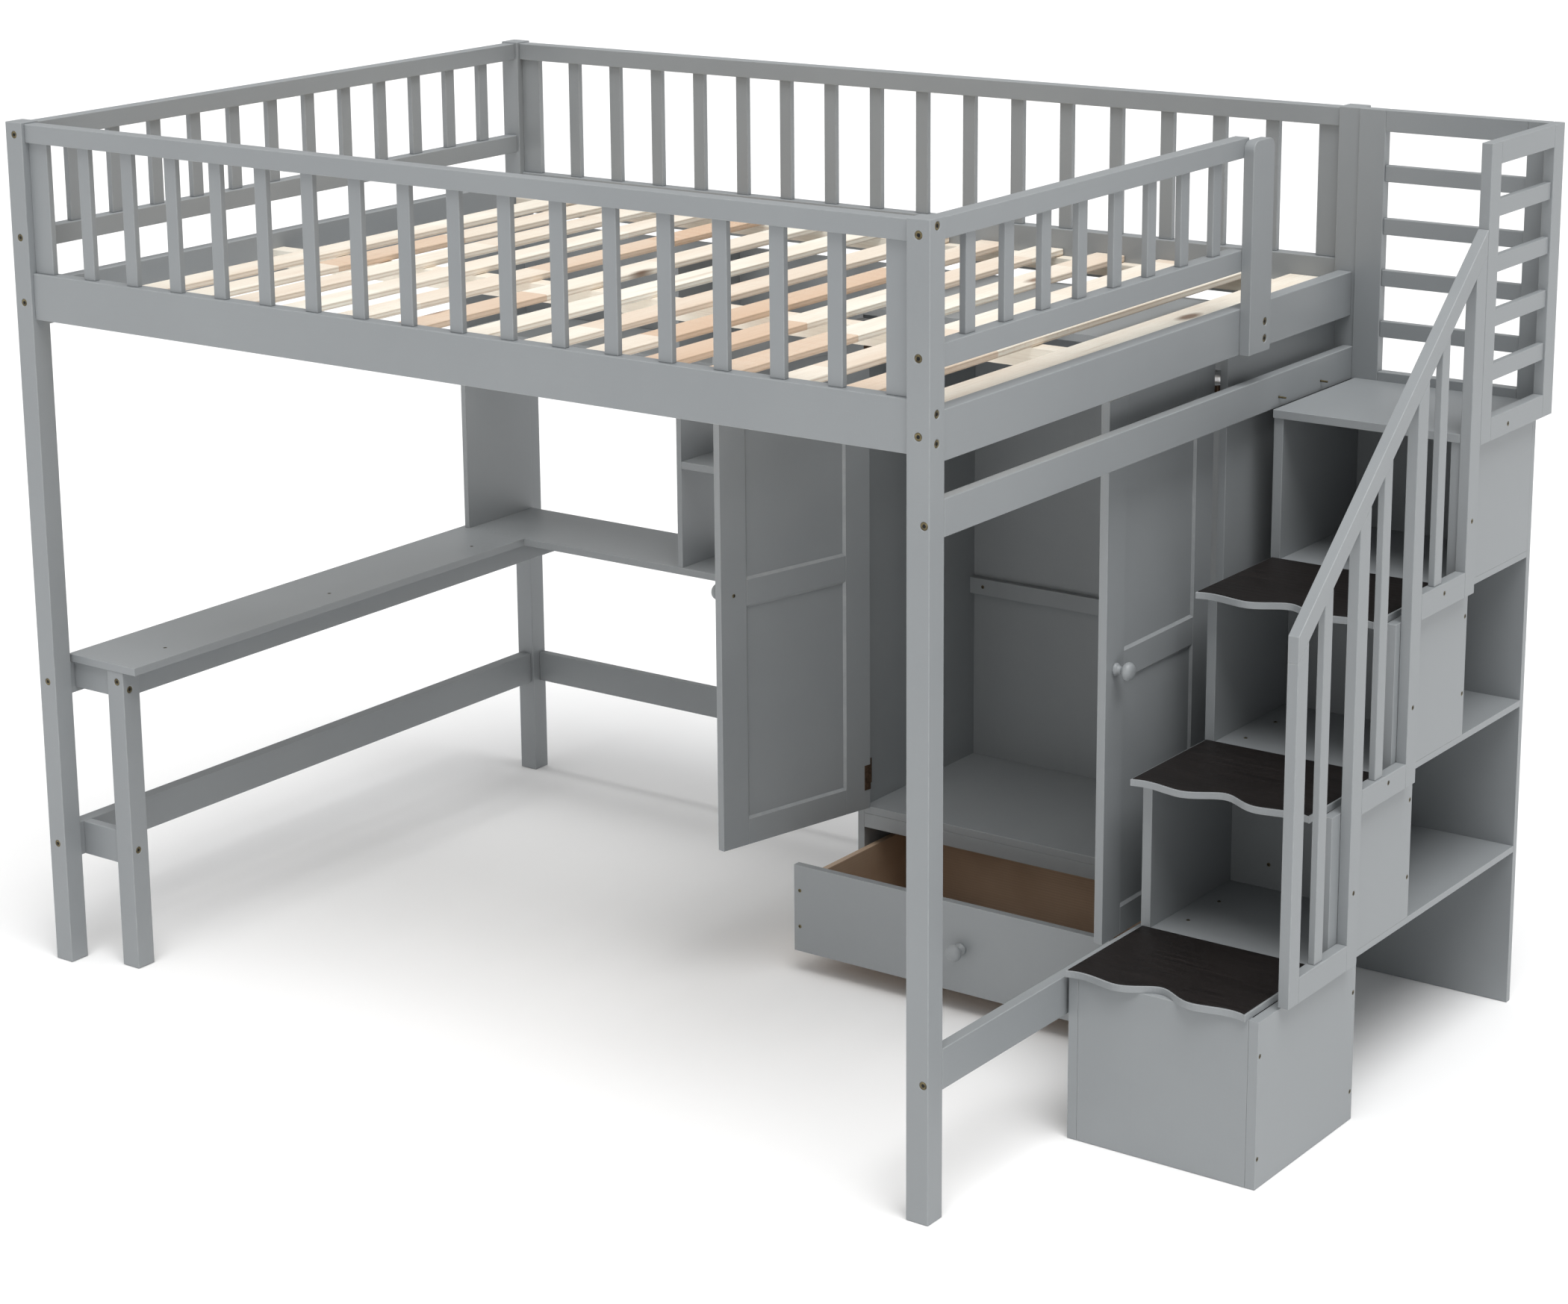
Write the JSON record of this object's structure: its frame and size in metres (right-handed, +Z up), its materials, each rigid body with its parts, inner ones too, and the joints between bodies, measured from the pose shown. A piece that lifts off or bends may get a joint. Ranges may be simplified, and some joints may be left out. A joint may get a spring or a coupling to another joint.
{
  "type": "loft bed with desk",
  "caption": "High bed on four posts with guard rails, an L-shaped desk, a two-door wardrobe with a drawer below, and storage stairs with a banister.",
  "frame": {"origin": "floor level, at the middle of the footprint", "axes": "+X along the bed towards the stairs, +Y to the back, +Z up"},
  "size_m": [2.391, 1.45, 1.627],
  "materials": {
    "painted_wood": "satin grey paint",
    "painted_board": "satin grey paint",
    "bare_pine": "bare sanded pine",
    "brown_plywood": "brown stained plywood",
    "dark_tread_cover": "matte dark non-slip cover",
    "rod_metal": "satin",
    "bronze_hinge": "bronze lacquer",
    "aged_brass": "aged"
  },
  "bodies": {
    "bed_frame": {"post_front_left": "painted_wood", "post_front_right": "painted_wood", "post_back_left": "painted_wood", "post_back_right": "painted_wood", "front_bed_rail": "painted_wood", "back_bed_rail": "painted_wood", "end_bed_rails": "painted_wood", "long_guard_rails": "painted_wood", "long_guard_balusters": "painted_wood", "long_guard_stiles": "painted_wood", "end_guard_rails": "painted_wood", "end_guard_balusters": "painted_wood", "entry_post": "painted_wood", "right_end_stretchers": "painted_wood", "back_stretcher": "painted_wood", "left_end_stretchers": "painted_wood", "desk_leg": "painted_wood", "desk_rails": "painted_wood", "handrail": "painted_wood", "banister_posts": "painted_wood", "banister_balusters": "painted_wood", "banister_bottom_rails": "painted_wood", "platform_guard_stiles": "painted_wood", "platform_guard_slats": "painted_wood", "desk_top_left": "painted_board", "desk_top_back": "painted_board", "hutch_uprights": "painted_board", "hutch_shelves": "painted_board", "hutch_back_boards": "painted_board", "wardrobe_sides": "painted_board", "wardrobe_back": "painted_board", "wardrobe_top": "painted_board", "wardrobe_floor": "painted_board", "wardrobe_back_rail": "painted_board", "stair_left_panels": "painted_board", "stair_right_panels": "painted_board", "stair_partitions": "painted_board", "stair_shelf_boards": "painted_board", "stair_back_panel": "painted_board", "stair_treads": "painted_board", "bed_slats": "bare_pine", "slat_supports": "bare_pine", "drawer_runners": "brown_plywood", "tread_covers": "dark_tread_cover", "hanging_rod": "rod_metal", "hinge_frame_leaves": "bronze_hinge", "frame_bolts": "aged_brass", "panel_screws": "aged_brass"},
    "left_door": {"left_door_frame": "painted_board", "left_door_panels": "painted_board", "left_door_knob": "painted_wood", "left_door_hinge_leaves": "bronze_hinge"},
    "right_door": {"right_door_frame": "painted_board", "right_door_panels": "painted_board", "right_door_knob": "painted_wood", "right_door_hinge_leaves": "bronze_hinge"},
    "drawer": {"drawer_front": "painted_board", "drawer_box": "brown_plywood", "drawer_bottom": "brown_plywood", "drawer_knob": "painted_wood"}
  },
  "joints": [
    {"name": "left_door_hinge", "type": "hinge", "parent": "bed_frame", "child": "left_door", "pos_m": [0.011, 0.275, 0.745], "axis": [0, 0, 1], "range_deg": [-67, 103]},
    {"name": "right_door_hinge", "type": "hinge", "parent": "bed_frame", "child": "right_door", "pos_m": [0.76, 0.275, 0.745], "axis": [0, 0, 1], "range_deg": [-91, 3]},
    {"name": "drawer_slide", "type": "slide", "parent": "bed_frame", "child": "drawer", "axis": [0, -1, 0], "range_m": [-0.24, 0.06]}
  ]
}
